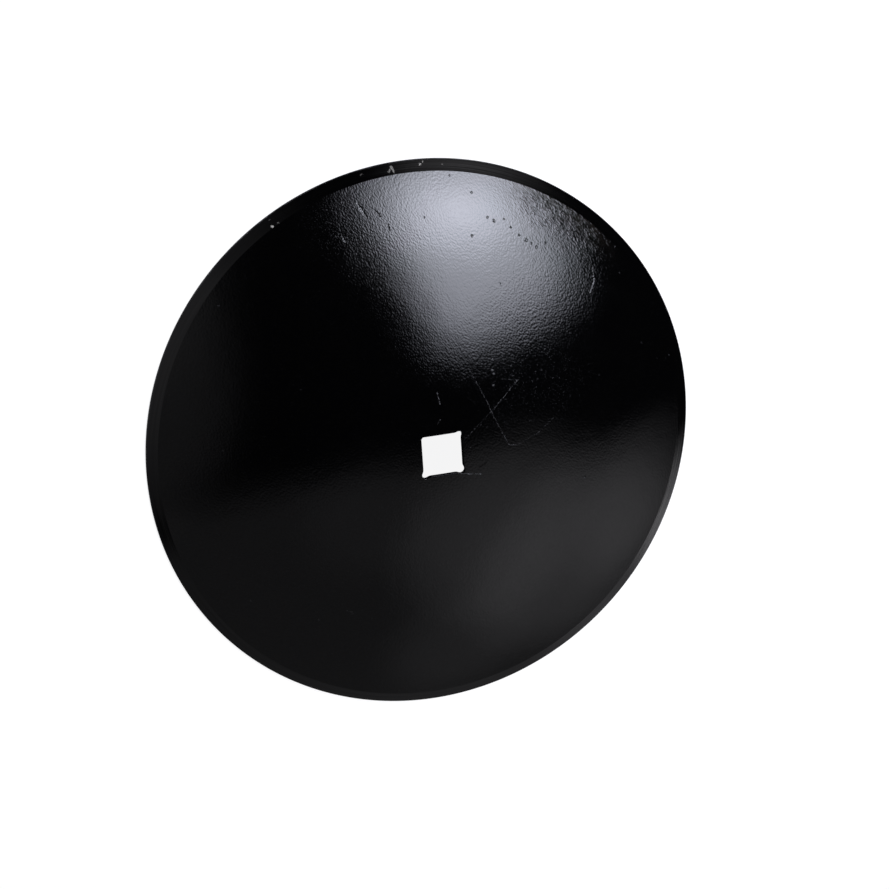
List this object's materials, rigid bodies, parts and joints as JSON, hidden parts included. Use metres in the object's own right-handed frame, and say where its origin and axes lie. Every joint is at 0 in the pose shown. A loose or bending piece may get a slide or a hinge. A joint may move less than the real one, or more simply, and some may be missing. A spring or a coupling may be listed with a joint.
{
  "type": "harrow disc blade",
  "caption": "Plain dished steel disc blade with a ground bevel edge and a square centre hole for a gang axle.",
  "frame": {"origin": "centre of the cutting rim's circle, in the plane that the blade lies on", "axes": "+Z along the blade's axis from the hollow side to the crowned side; X and Y square to the hole's walls"},
  "size_m": [0.56, 0.56, 0.074],
  "materials": {
    "black_paint": "gloss"
  },
  "bodies": {
    "root": {"disc_blade": "black_paint"}
  },
  "joints": []
}
